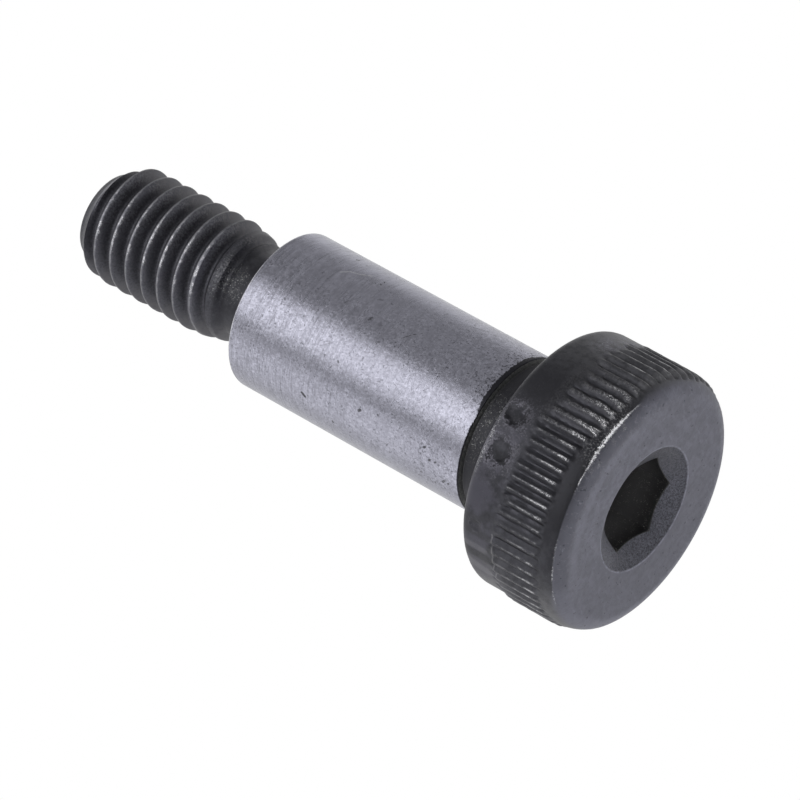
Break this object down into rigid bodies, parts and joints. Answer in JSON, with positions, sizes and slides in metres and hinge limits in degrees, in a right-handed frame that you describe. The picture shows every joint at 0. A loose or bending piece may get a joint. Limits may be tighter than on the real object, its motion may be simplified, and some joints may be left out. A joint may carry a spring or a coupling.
{
  "type": "shoulder bolt",
  "caption": "Steel shoulder bolt with a knurled round head, a hexagon socket, a ground cylindrical shoulder and a smaller threaded end beyond an undercut neck.",
  "frame": {"origin": "centre of the head's flat face, which the bolt stands on", "axes": "+Z along the bolt's axis from the head to the threaded end, +X through a corner of the hexagon socket"},
  "size_m": [0.013, 0.013, 0.0327],
  "materials": {
    "steel": "black oxide over the head and the thread, with the shoulder ground bright"
  },
  "bodies": {
    "root": {"shoulder_bolt": "steel"}
  },
  "joints": []
}
